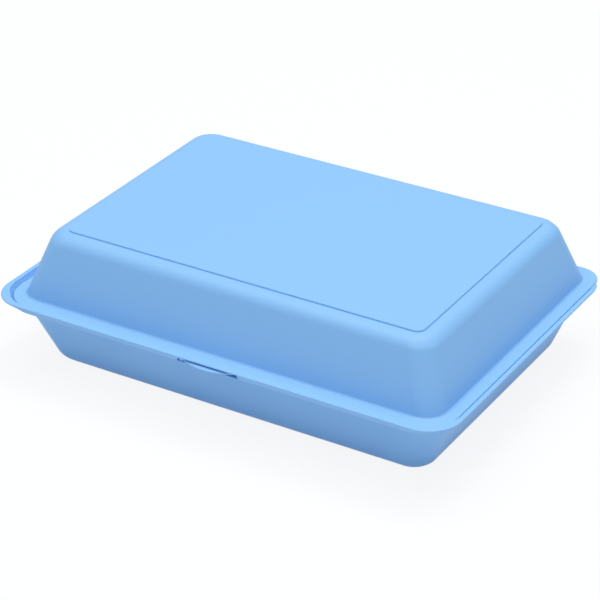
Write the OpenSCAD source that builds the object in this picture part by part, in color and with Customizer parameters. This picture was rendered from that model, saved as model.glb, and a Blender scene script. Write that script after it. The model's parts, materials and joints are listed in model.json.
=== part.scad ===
// Reusable meal container with a hinged lid: a tray and a domed lid, each moulded in one piece.
// The pieces are drawn around the middle of the food space, with the front towards -Y.
// At the end both move together, so that the origin lies under the middle of the overall box.

/* [Tray] */
// Width over the rim
rim_w = 228.6; // [200:0.1:260]
// Depth from the rim's front edge to the rear edge of the ledge
rim_d = 163.8; // [140:0.1:200]
// Height of the rim's top above the table
rim_h = 36.1; // [30:0.1:60]
// Radius of the rim's front corners, seen from above
rim_front_r = 15.6; // [12:0.1:22]
// Radius of the rim's rear corners, seen from above
rim_rear_r = 21.7; // [18:0.1:24]
// Height of the rim's upright edge, above where its sides lean in
rim_edge_h = 0.7; // [0.5:0.1:1]
// Height of the rim's outer face
skirt_h = 2.3; // [1.6:0.1:2.8]
// How far the outer face leans in at the sides, on its way down
skirt_in = 1.9; // [1:0.1:2]
// Radius of the outer face's front corners at its foot
skirt_front_r = 21; // [16:0.1:21.5]
// Radius of the outer face's rear corners at its foot
skirt_rear_r = 17; // [14:0.1:19]
// Depth of the recess that takes the lid's flange
recess_h = 3.15; // [2.8:0.05:3.6]
// Height over which the raised lip's inner face leans in to its foot
lip_lean_h = 2.3; // [1:0.1:2.3]
// Free gap between the flange's edge and the lip's foot
foot_gap = 0.3; // [0.3:0.05:0.8]
// Thickness of the ledge that the lid rests on
ledge_t = 1.65; // [1.2:0.05:2.2]
// How far in from its edge the rim's underside turns flat
under_w = 4.1; // [3:0.1:4.6]
// Where the raised lip ends at the sides, in front of the ledge's rear edge
lip_end = 14.5; // [12:0.5:30]
// Width of the ledge at each side, to the wall carried up to the rim's height
side_ledge = 6.45; // [5.5:0.05:9]
// Width of the ledge at the front
front_ledge = 7.9; // [6.5:0.05:11]
// Width of the ledge at the back
rear_ledge = 2.05; // [1.6:0.05:6]
// Lean of the tray's walls from upright, in degrees
tray_draft = 20.4; // [8:0.1:23]
// Radius of the tray's upright corners
tray_r = 11.6; // [9:0.1:16]
// How much smaller that radius is at the table
tray_r_less = 2; // [0:0.1:2]
// Radius between the tray's walls and its underside
tray_foot_r = 7.3; // [4:0.1:9]
// Wall thickness of both mouldings
wall = 1.8; // [1.2:0.1:2.4]
// Half the width of the hollow under the floor, between the strips that it stands on
hollow_x = 81; // [40:1:86]
// Depth of that hollow
hollow_h = 0.4; // [0.2:0.1:0.8]

/* [Lid] */
// Height of the lid's shoulder above its flange
dome_h = 29.4; // [20:0.1:45]
// Height of the raised panel on the top
panel_h = 0.8; // [0.4:0.1:2]
// Thickness of the flange
flange_t = 1.25; // [1:0.05:1.6]
// Free gap between the flange's edge and the lip around it
flange_gap = 1.55; // [0.8:0.05:2]
// Thickness of the raised lip along its straight stretches
lip_t = 2.2; // [1.8:0.1:2.6]
// How far the flange's rear edge hangs over the ledge's
flange_over = 0.3; // [0:0.1:1]
// Radius of the flange's front corners
flange_front_r = 16.3; // [12:0.1:20]
// Radius of the flange's rear corners
flange_rear_r = 11; // [9:0.1:14]
// How far the dome stands in from the tray's wall line
dome_in = 2.6; // [1.5:0.1:4]
// Lean of the dome's walls from upright, in degrees
dome_draft = 18.5; // [8:0.1:22]
// Radius of the dome's upright corners
dome_r = 10.5; // [9:0.1:15]
// Radius where the dome's walls turn into its top
shoulder_r = 6.5; // [3:0.1:7.5]
// Flat width between that radius and the raised panel
shoulder_flat = 1.8; // [0.8:0.1:4]
// Radius where the dome meets its flange
dome_foot_r = 1.5; // [0.6:0.1:2]

/* [Latch] */
// How far the latch lies to the right of the middle
latch_x = 1.9; // [-20:0.1:20]
// Width of the notch in the lip, at the rim's top
notch_w = 28.6; // [24:0.1:50]
// How much wider the notch is at each end of its foot
notch_flare = 2; // [0:0.1:3]
// Thickness of the front edge of the lid's tongue, which closes the top of the notch
tongue_t = 0.6; // [0.5:0.1:1]
// How far the web that carries the tongue reaches in over the flange
web_in = 1.3; // [1:0.1:2]
// How far that web stands out from the flange's edge
web_out = 1; // [0.8:0.1:1.2]
// How far the thumb tab's middle lies to the left of the notch's
tab_left = 0.9; // [0:0.1:4]
// Radius of the tray's thumb tab, seen from above
tab_r = 24; // [18:0.1:30]
// How far the thumb tab stands out of the rim
tab_out = 2; // [1:0.1:3]
// Thickness of the thumb tab at its tip
tab_tip_t = 0.6; // [0.4:0.1:1]
// Thickness of the thumb tab at its root
tab_root_t = 2.3; // [2:0.1:2.8]
// How far the thumb tab's underside slopes in for each unit of height
tab_slope = 2.2; // [1:0.1:3]
// Gap between the tongue's front edge and the thumb tab under it
nail_gap = 0.75; // [0.6:0.05:1]
// How far a fingernail reaches into that gap
nail_depth = 1; // [0.6:0.1:2]

/* [Hinge] */
// Distance of each hinge from the middle
hinge_x = 48; // [25:1:75]
// Radius of the tray's hinge pins
pin_r = 1.5; // [1.2:0.05:1.8]
// Wall of the lid's clip around the pin
clip_wall = 1.4; // [1.2:0.05:1.8]
// Width of the clip along the pin
clip_w = 10; // [6:0.5:20]
// Opening of the clip, by which it is pushed on
clip_mouth = 2.4; // [1.8:0.05:2.4]
// Thickness of the lugs at both ends of a pin
lug_t = 2.5; // [1.5:0.1:4]
// How far the root of a lug reaches into the ledge
lug_root = 1; // [0.6:0.1:1.8]
// How much smaller than the clip the lugs are, in radius
lug_less = 0.35; // [0.3:0.05:0.6]

/* [Clearances] */
// Height that the flange floats over the ledge
seat_gap = 0.2; // [0.1:0.05:0.4]
// Gap at the ends and edges of the latch parts
latch_gap = 0.3; // [0.2:0.05:0.5]
// Radial clearance of the clip on its pin
pin_gap = 0.06; // [0.02:0.01:0.1]
// Gap between the clip and the tray's ledge, and between the clip and the lugs
hinge_gap = 0.3; // [0.3:0.05:0.6]

/* [Hidden] */
corner_n = 12;   // steps around a corner
fillet_n = 6;    // steps around an edge
edge_r = 0.4;    // rounding of free edges
mouth_r = 0.8;   // rounding of the tray's inner edge
round_in = 1 - cos(45);   // how far in the middle of a rounding lies, as a share of its radius
bite = 2 * edge_r;        // how far two shapes of one moulding reach into each other
over = 1;        // how far a cutter runs past what it cuts
plastic = "lightskyblue";

// The food space's outline where the tray's walls reach the rim's height
body_x = rim_w / 2 - side_ledge;
body_y = (rim_d - front_ledge - rear_ledge) / 2;
// The rim, seen from above
rim_x = rim_w / 2;
rim_front = body_y + front_ledge;
rim_rear = body_y + rear_ledge;
// Heights
ledge_z = rim_h - recess_h;
under_z = ledge_z - ledge_t;
flange_z = ledge_z + seat_gap;
flange_top = flange_z + flange_t;
shoulder_z = flange_top + dome_h;
panel_z = shoulder_z + panel_h;
// The lid's flange and dome, seen from above
flange_x = rim_x - lip_t - flange_gap;
flange_front = rim_front - lip_t - flange_gap;
flange_rear = rim_rear + flange_over;
dome_x = body_x - dome_in;
dome_y = body_y - dome_in;
// The latch
tongue_z = rim_h - tongue_t;
tab_z = tongue_z - nail_gap;
tab_y = -(rim_front + tab_out - tab_r);
tab_back = -(flange_front + web_out + latch_gap);
// The hinge
clip_r = pin_r + pin_gap + clip_wall;
axis_y = rim_rear + hinge_gap + clip_r;
axis_z = flange_z + flange_t / 2;
lug_r = clip_r - lug_less;
pin_len = clip_w + 2 * hinge_gap + 2 * lug_t;
// The overall box
front_end = rim_front + tab_out;
rear_end = axis_y + clip_r;
centre_y = (rear_end - front_end) / 2;

// Points of a rounded rectangle at height z, counter-clockwise from above:
// sides at x and -x, front at -front, back at rear, with front and rear corner radii
function outline(x, front, rear, front_r, rear_r, z) = [
    for (c = [[1, 1, 0], [-1, 1, 90], [-1, -1, 180], [1, -1, 270]])
        let (r = c[1] > 0 ? rear_r : front_r, y = c[1] > 0 ? rear : front)
        for (i = [0 : corner_n])
            let (a = c[2] + 90 * i / corner_n)
            [c[0] * (x - r) + r * cos(a), c[1] * (y - r) + r * sin(a), z]
];
function rim_ring(inset, z) =
    outline(rim_x - inset, rim_front - inset, rim_rear - inset, rim_front_r - inset, rim_rear_r - inset, z);
function recess_ring(grow, z) =
    outline(flange_x + grow, flange_front + grow, flange_rear + grow,
        flange_front_r + grow, flange_rear_r + grow, z);
function dome_ring(inset, z) =
    outline(dome_x - inset, dome_y - inset, dome_y - inset, dome_r - inset, dome_r - inset, z);
// The tray's wall leans in on its way down, and its corners get a little smaller
function tray_r_at(z) = tray_r - tray_r_less * (rim_h - z) / rim_h;
function tray_wall_at(inset, z) =
    let (in = inset + (rim_h - z) * tan(tray_draft), r = tray_r_at(z) - inset)
    outline(body_x - in, body_y - in, body_y - in, r, r, z);

// Solid through a stack of rings
module loft(rings) {
    n = len(rings[0]);
    top = (len(rings) - 1) * n;
    polyhedron(
        points = [for (ring = rings) each ring],
        faces = concat(
            [[for (i = [0 : n - 1]) i]],
            [for (k = [0 : n : top - n]) for (i = [0 : n - 1])
                let (j = (i + 1) % n)
                each [[k + i, k + n + i, k + n + j], [k + i, k + n + j, k + j]]],
            [[for (i = [n - 1 : -1 : 0]) top + i]]
        )
    );
}

// Tray, rings from its floor up: bottom is the floor's height, radius the rounding there
function tray_rings(inset, bottom, radius) =
    let (sweep = 90 - tray_draft, reach = radius * tan(sweep / 2),
        lean = (rim_h - bottom) * tan(tray_draft))
    [for (i = [0 : fillet_n])
        let (a = sweep * i / fillet_n, back = reach - radius * sin(a), z = bottom + radius * (1 - cos(a)),
            in = inset + lean + back, r = tray_r_at(z) - inset - max(back, 0))
        outline(body_x - in, body_y - in, body_y - in, r, r, z)];
slant = wall / cos(tray_draft);

module tray_skin() {
    loft(concat(
        tray_rings(0, 0, tray_foot_r),
        [tray_wall_at(0, under_z),
         outline(rim_x - under_w, rim_front - under_w, rim_rear - edge_r,
            skirt_front_r - under_w, skirt_rear_r - under_w, under_z),
         outline(rim_x - skirt_in - edge_r, rim_front - edge_r, rim_rear,
            skirt_front_r, skirt_rear_r, rim_h - skirt_h),
         outline(rim_x - skirt_in, rim_front, rim_rear,
            skirt_front_r, skirt_rear_r, rim_h - skirt_h + edge_r),
         rim_ring(0, rim_h - rim_edge_h),
         rim_ring(0, rim_h - edge_r),
         rim_ring(edge_r * round_in, rim_h - edge_r * round_in),
         rim_ring(edge_r, rim_h)]
    ));
}

module food_space() {
    loft(concat(
        tray_rings(slant, wall, tray_foot_r - wall),
        [tray_wall_at(slant, ledge_z - mouth_r),
         tray_wall_at(slant - mouth_r * round_in, ledge_z - mouth_r * round_in),
         tray_wall_at(slant - mouth_r, ledge_z),
         tray_wall_at(slant - mouth_r, rim_h + over)]
    ));
}

module flange_recess() {
    loft([
        recess_ring(foot_gap, ledge_z),
        recess_ring(flange_gap, ledge_z + lip_lean_h),
        recess_ring(flange_gap, rim_h - edge_r),
        recess_ring(flange_gap + edge_r * round_in, rim_h - edge_r * round_in),
        recess_ring(flange_gap + edge_r, rim_h),
        recess_ring(flange_gap + edge_r, rim_h + over)
    ]);
}

// Everything above the ledge goes behind the end of the lip
module lip_ends() {
    translate([-rim_x - over, rim_rear - lip_end, ledge_z])
        cube([rim_w + 2 * over, lip_end + 2 * over, recess_h + over]);
}

module latch_notch() {
    foot_z = ledge_z + seat_gap;
    half = notch_w / 2;
    translate([latch_x, -flange_front, 0]) rotate([90, 0, 0])
        linear_extrude(rim_front - flange_front + over)
            polygon([[-half - notch_flare, foot_z], [half + notch_flare, foot_z],
                [half, rim_h - edge_r], [half, rim_h + over],
                [-half, rim_h + over], [-half, rim_h - edge_r]]);
}

// A rounded shelf under the tongue, thin at its tip
module thumb_tab() {
    taper = tab_root_t - tab_tip_t;
    intersection() {
        translate([latch_x - tab_left, tab_y, tab_z - tab_root_t]) {
            cylinder(h = taper, r1 = tab_r - tab_slope * taper, r2 = tab_r, $fn = 96);
            translate([0, 0, taper]) cylinder(h = tab_tip_t, r = tab_r, $fn = 96);
        }
        translate([latch_x - notch_w / 2, tab_back - tab_r, ledge_z - ledge_t])
            cube([notch_w, tab_r, recess_h + ledge_t]);
    }
}

// One hinge pin between two lugs that grow out of the ledge's rear edge
module hinge_pin() {
    lug_x = clip_w / 2 + hinge_gap;
    translate([-pin_len / 2, axis_y, axis_z]) rotate([0, 90, 0])
        cylinder(h = pin_len, r = pin_r, $fn = 48);
    for (x = [-lug_x - lug_t, lug_x]) translate([x, axis_y, axis_z]) rotate([90, 0, 90]) {
        cylinder(h = lug_t, r = lug_r, $fn = 48);
        linear_extrude(lug_t) hull() {
            translate([0, -lug_r / 2]) circle(r = lug_r / 2, $fn = 32);
            translate([rim_rear - axis_y - edge_r - lug_root, under_z - axis_z])
                square([lug_root, ledge_t - 2 * edge_r]);
        }
    }
}

module hollow() {
    translate([-hollow_x, -body_y, -over]) cube([2 * hollow_x, 2 * body_y, over + hollow_h]);
}

module tray() {
    color(plastic) translate([0, -centre_y, 0]) {
        difference() {
            tray_skin();
            food_space();
            flange_recess();
            lip_ends();
            latch_notch();
            hollow();
        }
        thumb_tab();
        for (side = [-1, 1]) translate([side * hinge_x, 0, 0]) hinge_pin();
    }
}

// Lid, rings of the rounded shoulder from the wall up, inset from the dome's outer face
function shoulder_rings(inset, top, radius) =
    let (sweep = 90 - dome_draft, reach = radius * tan(sweep / 2),
        lean = (top - flange_top) * tan(dome_draft))
    [for (i = [fillet_n : -1 : 0])
        let (a = sweep * i / fillet_n, back = reach - radius * sin(a))
        outline(dome_x - inset - lean - back, dome_y - inset - lean - back, dome_y - inset - lean - back,
            dome_r - inset - max(back, 0), dome_r - inset - max(back, 0), top - radius * (1 - cos(a)))];
dome_slant = wall / cos(dome_draft);
// Rings of the raised panel: the same edge inside and outside, one wall apart
panel_in = shoulder_r * tan((90 - dome_draft) / 2) + shoulder_flat;
dome_lean = dome_h * tan(dome_draft);
function panel_ring(inset, z) =
    outline(dome_x - dome_lean - panel_in - inset, dome_y - dome_lean - panel_in - inset,
        dome_y - dome_lean - panel_in - inset, dome_r - panel_in - inset, dome_r - panel_in - inset, z);

module lid_skin() {
    sweep = 90 - dome_draft;
    reach = dome_foot_r * tan(sweep / 2);
    loft(concat(
        [recess_ring(-edge_r, flange_z),
         recess_ring(0, flange_z + edge_r),
         recess_ring(0, flange_top - edge_r),
         recess_ring(-edge_r, flange_top)],
        [for (i = [0 : fillet_n])
            let (a = sweep * i / fillet_n)
            dome_ring(dome_foot_r * sin(a) - reach, flange_top + dome_foot_r * (1 - cos(a)))],
        shoulder_rings(0, shoulder_z, shoulder_r),
        [panel_ring(0, shoulder_z),
         panel_ring(0, panel_z - edge_r),
         panel_ring(edge_r * round_in, panel_z - edge_r * round_in),
         panel_ring(edge_r, panel_z)]
    ));
}

module lid_space() {
    ceiling = shoulder_z - wall;
    loft(concat(
        [dome_ring(dome_slant, flange_z - over),
         dome_ring(dome_slant, flange_top)],
        shoulder_rings(dome_slant, ceiling, shoulder_r - wall),
        [panel_ring(edge_r, ceiling),
         panel_ring(edge_r, ceiling + panel_h)]
    ));
}

// The tongue lies flush with the rim's top and closes the notch's upper edge. It is thin at
// its front edge, over the thumb tab. Behind the lip it slopes down to the flange.
module tongue() {
    half = notch_w / 2 - latch_gap;
    foot_z = flange_top - bite;
    thick_z = tab_z + latch_gap;
    front = -rim_front;
    thick_y = front + nail_depth;
    slope_y = front + lip_t;
    web_y = -flange_front - web_out;
    back = -flange_front + web_in;
    translate([latch_x - half, 0, 0]) rotate([90, 0, 90]) linear_extrude(2 * half)
        polygon([[front, tongue_z], [front, rim_h - edge_r], [front + edge_r, rim_h],
            [slope_y, rim_h], [back, flange_top], [back, foot_z], [web_y, foot_z],
            [web_y, thick_z], [thick_y, thick_z], [thick_y, tongue_z]]);
}

// A clip pushed over a hinge pin from above, on an arm from the flange's rear edge
module hinge_clip() {
    translate([-clip_w / 2, axis_y, axis_z]) difference() {
        union() {
            rotate([0, 90, 0]) cylinder(h = clip_w, r = clip_r, $fn = 64);
            translate([0, flange_rear - axis_y - bite, -flange_t / 2])
                cube([clip_w, axis_y - flange_rear + bite, flange_t]);
        }
        translate([-over, 0, 0]) rotate([0, 90, 0])
            cylinder(h = clip_w + 2 * over, r = pin_r + pin_gap, $fn = 64);
        translate([-over, -clip_mouth / 2, -clip_r - over])
            cube([clip_w + 2 * over, clip_mouth, clip_r + over]);
    }
}

module lid() {
    color(plastic) translate([0, -centre_y, 0]) {
        difference() {
            lid_skin();
            lid_space();
        }
        tongue();
        for (side = [-1, 1]) translate([side * hinge_x, 0, 0]) hinge_clip();
    }
}

tray();
lid();
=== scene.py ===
import json
import math

import bmesh
import bpy
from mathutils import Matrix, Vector

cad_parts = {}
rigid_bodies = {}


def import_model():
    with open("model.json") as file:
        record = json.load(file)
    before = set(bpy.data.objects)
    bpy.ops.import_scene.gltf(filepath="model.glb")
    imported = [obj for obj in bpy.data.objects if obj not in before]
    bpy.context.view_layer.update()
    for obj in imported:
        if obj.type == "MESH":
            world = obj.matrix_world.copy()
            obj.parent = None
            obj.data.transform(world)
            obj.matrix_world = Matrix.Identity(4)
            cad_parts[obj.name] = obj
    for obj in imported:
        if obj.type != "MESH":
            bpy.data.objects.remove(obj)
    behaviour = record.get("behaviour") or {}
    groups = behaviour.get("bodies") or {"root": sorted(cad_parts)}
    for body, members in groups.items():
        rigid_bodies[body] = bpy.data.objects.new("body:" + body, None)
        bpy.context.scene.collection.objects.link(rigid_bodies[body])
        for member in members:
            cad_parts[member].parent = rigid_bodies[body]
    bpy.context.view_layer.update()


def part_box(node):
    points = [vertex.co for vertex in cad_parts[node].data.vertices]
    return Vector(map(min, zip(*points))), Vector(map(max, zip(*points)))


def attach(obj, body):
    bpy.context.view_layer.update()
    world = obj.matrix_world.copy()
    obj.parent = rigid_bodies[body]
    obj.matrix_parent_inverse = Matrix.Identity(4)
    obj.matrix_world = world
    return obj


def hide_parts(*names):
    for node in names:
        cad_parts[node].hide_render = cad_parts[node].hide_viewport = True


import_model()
trayLow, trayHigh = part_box("tray")
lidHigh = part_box("lid")[1]
print("frame loaded")

cornerSteps = 24    # faces around an upright corner
roundSteps = 8      # faces across a rounding
barSides = 64       # faces around a pin or a lug
neckSides = 32
clipSides = 96
tabSides = 160
past = 0.001        # how far a cutter runs past what it cuts
samePoint = 1e-7    # outlines that meet are merged within this
weld = 0.000002     # points of a finished piece closer than this are merged
bevelAngle = 50     # edges sharper than this get a fine rounding
smoothAngle = 32    # edges sharper than this stay sharp in the shading

# what a user would change, in metres and degrees
tray = {
    "rimDepth": 0.1638, "rimHeight": 0.0361,
    "rimFrontRadius": 0.0156, "rimRearRadius": 0.0217, "rimEdge": 0.0007,
    "skirtHeight": 0.0023, "skirtIn": 0.0019, "skirtFrontRadius": 0.021, "skirtRearRadius": 0.017,
    "underWidth": 0.0041,
    "recessHeight": 0.00315, "footGap": 0.0003, "lipLean": 0.0023,
    "ledgeThickness": 0.00165,
    "sideLedge": 0.00645, "frontLedge": 0.0079, "rearLedge": 0.00205,
    "lipEnd": 0.0145,
    "draft": 20.4, "cornerRadius": 0.0116, "cornerLess": 0.002, "footRound": 0.0073,
    "wall": 0.0018, "mouthRound": 0.0008, "edgeRound": 0.0004, "fineRound": 0.0002,
    "hollowHalfWidth": 0.081, "hollowDepth": 0.0004,
}
lid = {
    "domeHeight": 0.0294, "panelHeight": 0.0008,
    "flangeThickness": 0.00125, "flangeGap": 0.00155, "lipThickness": 0.0022,
    "flangeOver": 0.0003, "seatGap": 0.0002,
    "flangeFrontRadius": 0.0163, "flangeRearRadius": 0.011,
    "domeIn": 0.0026, "draft": 18.5, "cornerRadius": 0.0105,
    "shoulderRound": 0.0065, "shoulderFlat": 0.0018, "footRound": 0.0015,
    "wall": 0.0018, "edgeRound": 0.0004, "fineRound": 0.0001,
}
latch = {
    "x": 0.0019, "notchWidth": 0.0286, "notchFlare": 0.002,
    "tongueThickness": 0.0006, "webIn": 0.0007, "webOut": 0.001, "tongueGap": 0.00005,
    "tabX": 0.001, "tabRadius": 0.024, "tabOut": 0.002, "tabTip": 0.0006, "tabRoot": 0.0023,
    "tabSlope": 2.2, "nailGap": 0.00075, "nailDepth": 0.001, "gap": 0.0003,
}
hinge = {
    "x": 0.048, "pinRadius": 0.0015, "pinGap": 0.00006, "clipWall": 0.0014,
    "clipWidth": 0.010, "clipMouth": 0.0024, "lugThickness": 0.0025,
    "lugLess": 0.00035, "lugRoot": 0.001, "gap": 0.0003,
}

# places worked out from the frame and the sizes above
bodyX = trayHigh.x - tray["sideLedge"]
bodyY = (tray["rimDepth"] - tray["frontLedge"] - tray["rearLedge"]) / 2
rimX = trayHigh.x
rimFront = bodyY + tray["frontLedge"]
rimRear = bodyY + tray["rearLedge"]
midY = trayLow.y + rimFront + latch["tabOut"]
rimZ = tray["rimHeight"]
ledgeZ = rimZ - tray["recessHeight"]
underZ = ledgeZ - tray["ledgeThickness"]
flangeZ = ledgeZ + lid["seatGap"]
flangeTop = flangeZ + lid["flangeThickness"]
shoulderZ = flangeTop + lid["domeHeight"]
panelZ = lidHigh.z
lipGap = lid["lipThickness"] + lid["flangeGap"]
flangeX = rimX - lipGap
flangeFront = rimFront - lipGap
flangeRear = rimRear + lid["flangeOver"]
domeX = bodyX - lid["domeIn"]
domeY = bodyY - lid["domeIn"]
tongueZ = rimZ - latch["tongueThickness"]
tabZ = tongueZ - latch["nailGap"]
tabY = midY - (rimFront + latch["tabOut"] - latch["tabRadius"])
clipRadius = hinge["pinRadius"] + hinge["pinGap"] + hinge["clipWall"]
lugRadius = clipRadius - hinge["lugLess"]
axisY = midY + rimRear + hinge["gap"] + clipRadius
axisZ = flangeZ + lid["flangeThickness"] / 2


def editedMesh():
    return bmesh.from_edit_mesh(bpy.context.object.data)


def selectVerts(test):
    bpy.ops.mesh.select_mode(type="VERT")
    bpy.ops.mesh.select_all(action="DESELECT")
    mesh = editedMesh()
    for vert in mesh.verts:
        if test(vert):
            vert.select_set(True)
    mesh.select_flush(True)
    bmesh.update_edit_mesh(bpy.context.object.data)


def selectEdges(test):
    bpy.ops.mesh.select_mode(type="EDGE")
    bpy.ops.mesh.select_all(action="DESELECT")
    mesh = editedMesh()
    for edge in mesh.edges:
        if test(edge):
            edge.select_set(True)
    bmesh.update_edit_mesh(bpy.context.object.data)


# an outline is a rectangle around the middle of the food space with rounded corners, at height z
def outline(x, front, rear, frontRadius, rearRadius, z):
    return (x, front, rear, frontRadius, rearRadius, z)


def addOutline(shape, number):
    x, front, rear, frontRadius, rearRadius, z = shape
    middle = midY + (rear - front) / 2
    bpy.ops.mesh.primitive_plane_add(size=1, location=(0, middle, z))
    bpy.ops.transform.resize(value=(2 * x, front + rear, 1), center_override=(0, middle, z))
    for radius, side in ((frontRadius, -1), (rearRadius, 1)):
        ring = editedMesh().verts.layers.int["ring"]
        selectVerts(lambda vert: vert[ring] == 0 and (vert.co.y - middle) * side > 0)
        bpy.ops.mesh.bevel(affect="VERTICES", offset=radius, segments=cornerSteps, clamp_overlap=False)
    mesh = editedMesh()
    ring = mesh.verts.layers.int["ring"]
    for vert in mesh.verts:
        if vert[ring] == 0:
            vert[ring] = number
    selectVerts(lambda vert: vert[editedMesh().verts.layers.int["ring"]] == number)
    bpy.ops.mesh.delete(type="ONLY_FACE")


# a closed solid through a list of outlines, from the first to the last; each strip is bridged
# from two outlines of its own, because beside faces a bridge can match level outlines backwards
def loft(name, shapes):
    bpy.ops.object.select_all(action="DESELECT")
    bpy.ops.mesh.primitive_plane_add(size=1)
    piece = bpy.context.object
    piece.name = piece.data.name = name
    bpy.ops.object.mode_set(mode="EDIT")
    bpy.ops.mesh.delete(type="VERT")
    editedMesh().verts.layers.int.new("ring")
    for number in range(1, len(shapes)):
        addOutline(shapes[number - 1], number)
        addOutline(shapes[number], number)
        ring = editedMesh().verts.layers.int["ring"]
        selectEdges(lambda edge: edge.verts[0][ring] == number)
        bpy.ops.mesh.bridge_edge_loops()
    bpy.ops.mesh.select_all(action="SELECT")
    bpy.ops.mesh.remove_doubles(threshold=samePoint)
    bpy.ops.mesh.fill_holes(sides=0)
    bpy.ops.mesh.select_all(action="SELECT")
    bpy.ops.mesh.normals_make_consistent(inside=False)
    bpy.ops.object.mode_set(mode="OBJECT")
    piece.data.attributes.remove(piece.data.attributes["ring"])
    return piece


def selectOnly(piece):
    bpy.ops.object.select_all(action="DESELECT")
    piece.select_set(True)
    bpy.context.view_layer.objects.active = piece


def placeInMesh(piece):
    selectOnly(piece)
    bpy.ops.object.transform_apply(location=True, rotation=True, scale=True)
    return piece


def box(name, low, high):
    low, high = Vector(low), Vector(high)
    bpy.ops.object.select_all(action="DESELECT")
    bpy.ops.mesh.primitive_cube_add(size=1, location=(low + high) / 2, scale=high - low)
    bpy.context.object.name = name
    return placeInMesh(bpy.context.object)


def barAlongX(name, radius, length, y, z, sides=barSides):
    bpy.ops.object.select_all(action="DESELECT")
    bpy.ops.mesh.primitive_cylinder_add(vertices=sides, radius=radius, depth=length,
                                        location=(0, y, z), rotation=(0, math.pi / 2, 0))
    bpy.context.object.name = name
    return placeInMesh(bpy.context.object)


def applyBoolean(piece, other, operation):
    selectOnly(piece)
    modifier = piece.modifiers.new("boolean", "BOOLEAN")
    modifier.object = other
    modifier.operation = operation
    modifier.solver = "EXACT"
    bpy.ops.object.modifier_apply(modifier=modifier.name)
    bpy.data.objects.remove(other)


def moved(piece, x):
    copy = piece.copy()
    copy.data = piece.data.copy()
    bpy.context.scene.collection.objects.link(copy)
    copy.location.x = x
    bpy.context.view_layer.update()
    return placeInMesh(copy)


# the outlines across a rounding, where a wall that leans from wallZ turns flat at flatZ
def turnToFlat(x, y, cornerRadius, draft, wallZ, flatZ, inset, radius):
    sweep = math.radians(90 - draft)
    reach = radius * math.tan(sweep / 2)
    lean = abs(wallZ - flatZ) * math.tan(math.radians(draft))
    side = 1 if wallZ > flatZ else -1
    shapes = []
    for i in range(roundSteps + 1):
        angle = sweep * i / roundSteps
        back = reach - radius * math.sin(angle)
        less = inset + lean + back
        corner = cornerRadius - inset - max(back, 0)
        z = flatZ + side * radius * (1 - math.cos(angle))
        shapes.append(outline(x - less, y - less, y - less, corner, corner, z))
    return shapes


def quarterSteps():
    return [math.pi / 2 * i / roundSteps for i in range(roundSteps + 1)]


def rimOutline(inset, z):
    return outline(rimX - inset, rimFront - inset, rimRear - inset,
                   tray["rimFrontRadius"] - inset, tray["rimRearRadius"] - inset, z)


def flangeOutline(grow, z):
    return outline(flangeX + grow, flangeFront + grow, flangeRear + grow,
                   lid["flangeFrontRadius"] + grow, lid["flangeRearRadius"] + grow, z)


def trayWallOutline(inset, z):
    less = inset + (rimZ - z) * math.tan(math.radians(tray["draft"]))
    corner = tray["cornerRadius"] - tray["cornerLess"] * (rimZ - z) / rimZ - inset
    return outline(bodyX - less, bodyY - less, bodyY - less, corner, corner, z)


def buildTrayShell():
    edge, mouth = tray["edgeRound"], tray["mouthRound"]
    slant = tray["wall"] / math.cos(math.radians(tray["draft"]))
    skirtZ = rimZ - tray["skirtHeight"]
    wallForm = (bodyX, bodyY, tray["cornerRadius"] - tray["cornerLess"], tray["draft"], rimZ)
    inside = turnToFlat(*wallForm, tray["wall"], slant, tray["footRound"] - tray["wall"])
    for angle in quarterSteps():
        inside.append(trayWallOutline(slant - mouth * (1 - math.cos(angle)),
                                      ledgeZ - mouth * (1 - math.sin(angle))))
    inside.append(trayWallOutline(slant - mouth, rimZ))
    outside = [rimOutline(edge * (1 - math.sin(angle)), rimZ - edge * (1 - math.cos(angle)))
               for angle in quarterSteps()]
    outside.append(rimOutline(0, rimZ - tray["rimEdge"]))
    frontRadius, rearRadius, under = tray["skirtFrontRadius"], tray["skirtRearRadius"], tray["underWidth"]
    for angle in quarterSteps():
        inset = edge * (1 - math.cos(angle))
        outside.append(outline(rimX - tray["skirtIn"] - inset, rimFront - inset, rimRear,
                               frontRadius, rearRadius, skirtZ + edge * (1 - math.sin(angle))))
    outside.append(outline(rimX - under, rimFront - under, rimRear - edge,
                           frontRadius - under, rearRadius - under, underZ))
    outside.append(trayWallOutline(0, underZ))
    outside += reversed(turnToFlat(*wallForm, 0, 0, tray["footRound"]))
    return loft("trayShell", inside + outside)


def cutTrayShell(shell):
    edge, gap = tray["edgeRound"], lid["flangeGap"]
    recess = [flangeOutline(tray["footGap"], ledgeZ), flangeOutline(gap, ledgeZ + tray["lipLean"])]
    recess += [flangeOutline(gap + edge * (1 - math.cos(angle)), rimZ - edge * (1 - math.sin(angle)))
               for angle in quarterSteps()]
    recess.append(flangeOutline(gap + edge, rimZ + past))
    applyBoolean(shell, loft("recess", recess), "DIFFERENCE")
    lipEndY = midY + rimRear - tray["lipEnd"]
    applyBoolean(shell, box("lipEnds", (-rimX - past, lipEndY, ledgeZ),
                            (rimX + past, midY + rimRear + 2 * past, rimZ + past)), "DIFFERENCE")
    applyBoolean(shell, buildNotch(), "DIFFERENCE")
    half = tray["hollowHalfWidth"]
    applyBoolean(shell, box("hollow", (-half, midY - bodyY, -past),
                            (half, midY + bodyY, tray["hollowDepth"])), "DIFFERENCE")


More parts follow.
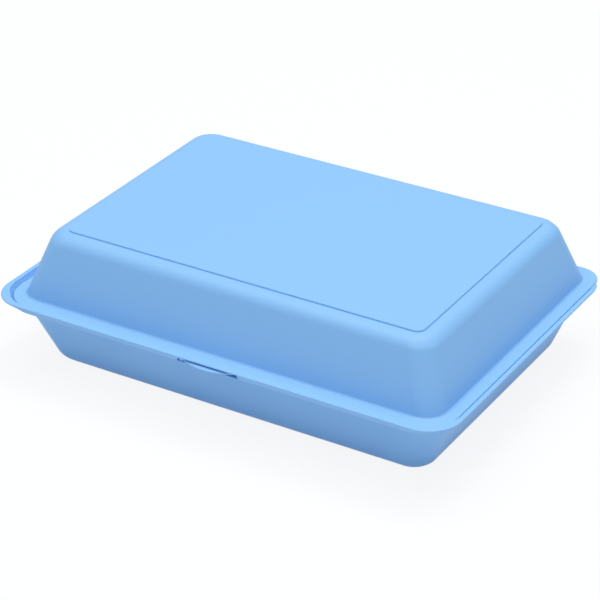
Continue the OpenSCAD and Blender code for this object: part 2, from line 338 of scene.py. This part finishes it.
# a wedge that widens towards its foot, drawn straight up past the rim
def buildNotch():
    half, footZ, topZ = latch["notchWidth"] / 2, flangeZ, rimZ - tray["edgeRound"]
    notch = box("notch", (latch["x"] - half, midY - rimFront - past, footZ),
                (latch["x"] + half, midY - flangeFront, topZ))
    bpy.ops.object.mode_set(mode="EDIT")
    selectVerts(lambda vert: vert.co.z < footZ + past / 2)
    bpy.ops.transform.resize(value=(1 + latch["notchFlare"] / half, 1, 1),
                             center_override=(latch["x"], 0, footZ))
    selectVerts(lambda vert: vert.co.z > topZ - past / 2)
    bpy.ops.mesh.extrude_region_move(TRANSFORM_OT_translate={"value": (0, 0, tray["edgeRound"] + past)})
    bpy.ops.object.mode_set(mode="OBJECT")
    return notch


# a round shelf, thin at its tip, cut to what stands under the lid's tongue
def buildThumbTab():
    radius, tip = latch["tabRadius"], latch["tabTip"]
    taper = latch["tabRoot"] - tip
    bpy.ops.object.select_all(action="DESELECT")
    bpy.ops.mesh.primitive_cylinder_add(vertices=tabSides, radius=radius, depth=tip,
                                        location=(latch["tabX"], tabY, tabZ - tip / 2))
    tab = placeInMesh(bpy.context.object)
    bpy.ops.object.mode_set(mode="EDIT")
    selectVerts(lambda vert: vert.co.z < tabZ - tip / 2)
    bpy.ops.mesh.extrude_region_move(TRANSFORM_OT_translate={"value": (0, 0, -taper)})
    less = 1 - latch["tabSlope"] * taper / radius
    bpy.ops.transform.resize(value=(less, less, 1), center_override=(latch["tabX"], tabY, tabZ))
    half = latch["notchWidth"] / 2
    back = midY - flangeFront - latch["webOut"] - latch["gap"]
    for place, outwards in (((0, back, 0), (0, 1, 0)),
                            ((latch["x"] - half, 0, 0), (-1, 0, 0)),
                            ((latch["x"] + half, 0, 0), (1, 0, 0))):
        bpy.ops.mesh.select_all(action="SELECT")
        bpy.ops.mesh.bisect(plane_co=place, plane_no=outwards, use_fill=True, clear_outer=True)
    bpy.ops.object.mode_set(mode="OBJECT")
    return tab


# a pin between two lugs, each on a neck from the tray's rear edge
def buildHingePin():
    half = hinge["lugThickness"] / 2
    lugX = hinge["clipWidth"] / 2 + hinge["gap"] + half
    pin = barAlongX("pin", hinge["pinRadius"], 2 * (lugX + half), axisY, axisZ)
    rootY = midY + rimRear - tray["edgeRound"]
    for x in (-lugX, lugX):
        lug = moved(barAlongX("lug", lugRadius, 2 * half, axisY, axisZ), x)
        neck = moved(barAlongX("neck", lugRadius / 2, 2 * half, axisY, axisZ - lugRadius / 2, neckSides), x)
        root = box("root", (x - half, rootY - hinge["lugRoot"], underZ),
                   (x + half, rootY, ledgeZ - 2 * tray["edgeRound"]))
        bpy.ops.object.select_all(action="DESELECT")
        neck.select_set(True)
        root.select_set(True)
        bpy.context.view_layer.objects.active = neck
        bpy.ops.object.join()
        bpy.ops.object.mode_set(mode="EDIT")
        bpy.ops.mesh.select_all(action="SELECT")
        bpy.ops.mesh.convex_hull()
        bpy.ops.object.mode_set(mode="OBJECT")
        applyBoolean(lug, neck, "UNION")
        applyBoolean(pin, lug, "UNION")
    for spare in [o for o in bpy.data.objects if o.name.startswith(("lug", "neck"))]:
        bpy.data.objects.remove(spare)
    return pin


def buildLidShell():
    edge, foot = lid["edgeRound"], lid["footRound"]
    slant = lid["wall"] / math.cos(math.radians(lid["draft"]))
    ceiling = shoulderZ - lid["wall"]
    sweep = math.radians(90 - lid["draft"])
    domeForm = (domeX, domeY, lid["cornerRadius"], lid["draft"], flangeTop)
    reach = lid["shoulderRound"] * math.tan(sweep / 2) + lid["shoulderFlat"]
    lean = lid["domeHeight"] * math.tan(math.radians(lid["draft"]))

    def panelOutline(inset, z):
        less, corner = lean + reach + inset, lid["cornerRadius"] - reach - inset
        return outline(domeX - less, domeY - less, domeY - less, corner, corner, z)

    def domeOutline(inset, z):
        corner = lid["cornerRadius"] - inset
        return outline(domeX - inset, domeY - inset, domeY - inset, corner, corner, z)

    shapes = [panelOutline(edge, ceiling + lid["panelHeight"]), panelOutline(edge, ceiling)]
    shapes += turnToFlat(*domeForm, ceiling, slant, lid["shoulderRound"] - lid["wall"])
    shapes += [domeOutline(slant, flangeTop), domeOutline(slant, flangeZ)]
    shapes += [flangeOutline(-edge * (1 - math.sin(angle)), flangeZ + edge * (1 - math.cos(angle)))
               for angle in quarterSteps()]
    shapes += [flangeOutline(-edge * (1 - math.cos(angle)), flangeTop - edge * (1 - math.sin(angle)))
               for angle in quarterSteps()]
    footReach = foot * math.tan(sweep / 2)
    for i in range(roundSteps + 1):
        angle = sweep * i / roundSteps
        shapes.append(domeOutline(foot * math.sin(angle) - footReach,
                                  flangeTop + foot * (1 - math.cos(angle))))
    shapes += reversed(turnToFlat(*domeForm, shoulderZ, 0, lid["shoulderRound"]))
    shapes.append(panelOutline(0, shoulderZ))
    shapes += [panelOutline(edge * (1 - math.cos(angle)), panelZ - edge * (1 - math.sin(angle)))
               for angle in quarterSteps()]
    return loft("lidShell", shapes)


# the tongue closes the notch flush with the rim, thin over the thumb tab, on a web from the
# flange's edge; behind the lip it slopes down to the flange
def buildTongue():
    edge = tray["edgeRound"]
    half = latch["notchWidth"] / 2 - latch["tongueGap"]
    front, footZ, thickZ = midY - rimFront, flangeTop - 2 * edge, tabZ + latch["gap"]
    nailY, webY = front + latch["nailDepth"], midY - flangeFront - latch["webOut"]
    back = midY - flangeFront + latch["webIn"]
    section = [(front, tongueZ)]
    section += [(front + edge * (1 - math.cos(angle)), rimZ - edge * (1 - math.sin(angle)))
                for angle in quarterSteps()]
    section += [(front + lid["lipThickness"] - edge, rimZ), (back, flangeTop), (back, footZ),
                (webY, footZ), (webY, thickZ), (nailY, thickZ), (nailY, tongueZ)]
    bpy.ops.object.select_all(action="DESELECT")
    bpy.ops.mesh.primitive_plane_add(size=1)
    tongue = bpy.context.object
    tongue.name = "tongue"
    bpy.ops.object.mode_set(mode="EDIT")
    bpy.ops.mesh.delete(type="VERT")
    mesh = editedMesh()
    mesh.faces.new([mesh.verts.new((latch["x"] - half, y, z)) for y, z in section])
    bmesh.update_edit_mesh(tongue.data)
    bpy.ops.mesh.select_all(action="SELECT")
    bpy.ops.mesh.extrude_region_move(TRANSFORM_OT_translate={"value": (2 * half, 0, 0)})
    bpy.ops.mesh.select_all(action="SELECT")
    bpy.ops.mesh.normals_make_consistent(inside=False)
    bpy.ops.object.mode_set(mode="OBJECT")
    return tongue


# a clip that goes over a hinge pin from above, on an arm from the flange
def buildHingeClip():
    width, bore = hinge["clipWidth"], hinge["pinRadius"] + hinge["pinGap"]
    half, mouth = width / 2, hinge["clipMouth"] / 2
    clip = barAlongX("clip", clipRadius, width, axisY, axisZ, clipSides)
    armFrom = midY + flangeRear - 2 * tray["edgeRound"]
    applyBoolean(clip, box("arm", (-half, armFrom, flangeZ), (half, axisY, flangeTop)), "UNION")
    applyBoolean(clip, barAlongX("bore", bore, width + 2 * past, axisY, axisZ, clipSides), "DIFFERENCE")
    applyBoolean(clip, box("mouth", (-half - past, axisY - mouth, axisZ - clipRadius - past),
                           (half + past, axisY + mouth, axisZ)), "DIFFERENCE")
    return clip


# merges doubles, rounds the sharp edges a little and smooths the shading
def finishPiece(piece, fineRound):
    selectOnly(piece)
    bpy.ops.object.mode_set(mode="EDIT")
    bpy.ops.mesh.select_all(action="SELECT")
    bpy.ops.mesh.remove_doubles(threshold=weld)
    bpy.ops.mesh.normals_make_consistent(inside=False)
    bpy.ops.object.mode_set(mode="OBJECT")
    modifier = piece.modifiers.new("edges", "BEVEL")
    modifier.width = fineRound
    modifier.segments = 2
    modifier.limit_method = "ANGLE"
    modifier.angle_limit = math.radians(bevelAngle)
    bpy.ops.object.modifier_apply(modifier=modifier.name)
    bpy.ops.object.shade_smooth_by_angle(angle=math.radians(smoothAngle))
    modifier = piece.modifiers.new("normals", "WEIGHTED_NORMAL")
    modifier.keep_sharp = True
    bpy.ops.object.modifier_apply(modifier=modifier.name)


trayShell = buildTrayShell()
cutTrayShell(trayShell)
print("tray shell", len(trayShell.data.polygons))
applyBoolean(trayShell, buildThumbTab(), "UNION")
pin = buildHingePin()
for side in (-1, 1):
    applyBoolean(trayShell, moved(pin, side * hinge["x"]), "UNION")
bpy.data.objects.remove(pin)
finishPiece(trayShell, tray["fineRound"])
print("tray", len(trayShell.data.polygons))

lidShell = buildLidShell()
print("lid shell", len(lidShell.data.polygons))
applyBoolean(lidShell, buildTongue(), "UNION")
clip = buildHingeClip()
for side in (-1, 1):
    applyBoolean(lidShell, moved(clip, side * hinge["x"]), "UNION")
bpy.data.objects.remove(clip)
finishPiece(lidShell, lid["fineRound"])
print("lid", len(lidShell.data.polygons))

plastic = {
    "colour": (0.27, 0.53, 0.88), "deeper": (0.262, 0.52, 0.872),
    "mottleSize": 0.05, "mottleDetail": 3, "roughness": (0.48, 0.58), "ior": 1.49,
    "grainSize": 0.0005, "grainDetail": 2, "grainDepth": 0.000012, "grainStrength": 0.5,
    "shift": {"tray": 0.1, "lid": 0.7},
}


# matte moulded plastic: faint broad mottling, uneven gloss and a fine grain
def plasticMaterial(name, shift):
    material = bpy.data.materials.new(name)
    material.use_nodes = True
    nodes, links = material.node_tree.nodes, material.node_tree.links
    shader = nodes["Principled BSDF"]
    shader.inputs["IOR"].default_value = plastic["ior"]
    place = nodes.new("ShaderNodeTexCoord")
    mapping = nodes.new("ShaderNodeMapping")
    mapping.inputs["Location"].default_value = (shift, shift, shift)
    links.new(place.outputs["Object"], mapping.inputs["Vector"])

    def noise(size, detail):
        node = nodes.new("ShaderNodeTexNoise")
        node.inputs["Scale"].default_value = 1 / size
        node.inputs["Detail"].default_value = detail
        links.new(mapping.outputs["Vector"], node.inputs["Vector"])
        return node.outputs["Fac"]

    mottle = noise(plastic["mottleSize"], plastic["mottleDetail"])
    colour = nodes.new("ShaderNodeMix")
    colour.data_type = "RGBA"
    colour.inputs["A"].default_value = (*plastic["colour"], 1)
    colour.inputs["B"].default_value = (*plastic["deeper"], 1)
    links.new(mottle, colour.inputs["Factor"])
    links.new(colour.outputs["Result"], shader.inputs["Base Color"])
    gloss = nodes.new("ShaderNodeMapRange")
    gloss.inputs["To Min"].default_value, gloss.inputs["To Max"].default_value = plastic["roughness"]
    links.new(mottle, gloss.inputs["Value"])
    links.new(gloss.outputs["Result"], shader.inputs["Roughness"])
    bump = nodes.new("ShaderNodeBump")
    bump.inputs["Distance"].default_value = plastic["grainDepth"]
    bump.inputs["Strength"].default_value = plastic["grainStrength"]
    links.new(noise(plastic["grainSize"], plastic["grainDetail"]), bump.inputs["Height"])
    links.new(bump.outputs["Normal"], shader.inputs["Normal"])
    return material


for piece, node in ((trayShell, "tray"), (lidShell, "lid")):
    piece.data.materials.clear()
    piece.data.materials.append(plasticMaterial(node + "Plastic", plastic["shift"][node]))
    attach(piece, node)
    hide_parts(node)
print("plastic done")

studio = {
    "floorSize": 6, "floorColour": (0.86, 0.87, 0.88), "floorShadow": 0.12,
    "world": (0.53, 0.735, 1.0), "worldStrength": 0.485,
    "lampColour": (1.0, 0.94, 0.8), "lampAim": (0, 0, 0.03),
}
# place, width and watts of each lamp
lamps = {
    "overhead": ((0, 0, 1.6), 1.6, 18.7),
    "key": ((0.15, 0.35, 1.5), 0.5, 5.3),
    "front": ((0.1, -1.15, 1.25), 0.6, 2.6),
}


# the floor looks white with a faint shadow
def buildFloor():
    bpy.ops.object.select_all(action="DESELECT")
    bpy.ops.mesh.primitive_plane_add(size=studio["floorSize"])
    floor = bpy.context.object
    floor.name = "studioFloor"
    material = bpy.data.materials.new("floorPaper")
    material.use_nodes = True
    nodes, links = material.node_tree.nodes, material.node_tree.links
    nodes.clear()
    out = nodes.new("ShaderNodeOutputMaterial")
    paper = nodes.new("ShaderNodeBsdfDiffuse")
    paper.inputs["Color"].default_value = (*studio["floorColour"], 1)
    white = nodes.new("ShaderNodeEmission")
    path = nodes.new("ShaderNodeLightPath")
    seen = nodes.new("ShaderNodeMath")
    seen.operation = "MAXIMUM"
    links.new(path.outputs["Is Camera Ray"], seen.inputs[0])
    links.new(path.outputs["Is Glossy Ray"], seen.inputs[1])
    share = nodes.new("ShaderNodeMapRange")
    share.inputs["To Max"].default_value = 1 - studio["floorShadow"]
    links.new(seen.outputs[0], share.inputs["Value"])
    mix = nodes.new("ShaderNodeMixShader")
    links.new(share.outputs["Result"], mix.inputs["Fac"])
    links.new(paper.outputs[0], mix.inputs[1])
    links.new(white.outputs[0], mix.inputs[2])
    links.new(mix.outputs[0], out.inputs["Surface"])
    floor.data.materials.append(material)


def softbox(name, place, width, watts):
    light = bpy.data.lights.new(name, "AREA")
    light.size = width
    light.energy = watts
    light.color = studio["lampColour"]
    lamp = bpy.data.objects.new(name, light)
    lamp.location = place
    lamp.rotation_mode = "QUATERNION"
    lamp.rotation_quaternion = (Vector(studio["lampAim"]) - Vector(place)).to_track_quat("-Z", "Y")
    bpy.context.scene.collection.objects.link(lamp)


buildFloor()
for name, (place, width, watts) in lamps.items():
    softbox(name, place, width, watts)

world = bpy.data.worlds.new("studioWorld")
world.use_nodes = True
background = world.node_tree.nodes["Background"]
background.inputs["Color"].default_value = (*studio["world"], 1)
background.inputs["Strength"].default_value = studio["worldStrength"]
bpy.context.scene.world = world
print("studio done")

photoCamera = {
    "azimuth": 30.869, "elevation": 29.0, "distance": 1.04468, "lens": 140.04, "sensor": 36,
    "aimHeight": 0.040, "aimRight": -0.002781, "aimUp": -0.011609,
}


def placeCamera():
    azimuth, elevation = math.radians(photoCamera["azimuth"]), math.radians(photoCamera["elevation"])
    back = Vector((math.sin(azimuth) * math.cos(elevation), -math.cos(azimuth) * math.cos(elevation),
                   math.sin(elevation)))
    right = Vector((math.cos(azimuth), math.sin(azimuth), 0))
    up = back.cross(right)
    data = bpy.data.cameras.new("photoCamera")
    data.sensor_width = photoCamera["sensor"]
    data.lens = photoCamera["lens"]
    camera = bpy.data.objects.new("photoCamera", data)
    aim = Vector((0, midY, photoCamera["aimHeight"]))
    aim += right * photoCamera["aimRight"] + up * photoCamera["aimUp"]
    camera.location = aim + back * photoCamera["distance"]
    camera.rotation_mode = "QUATERNION"
    camera.rotation_quaternion = (-back).to_track_quat("-Z", "Y")
    bpy.context.scene.collection.objects.link(camera)
    bpy.context.scene.camera = camera


placeCamera()
bpy.context.scene.view_settings.view_transform = "Standard"
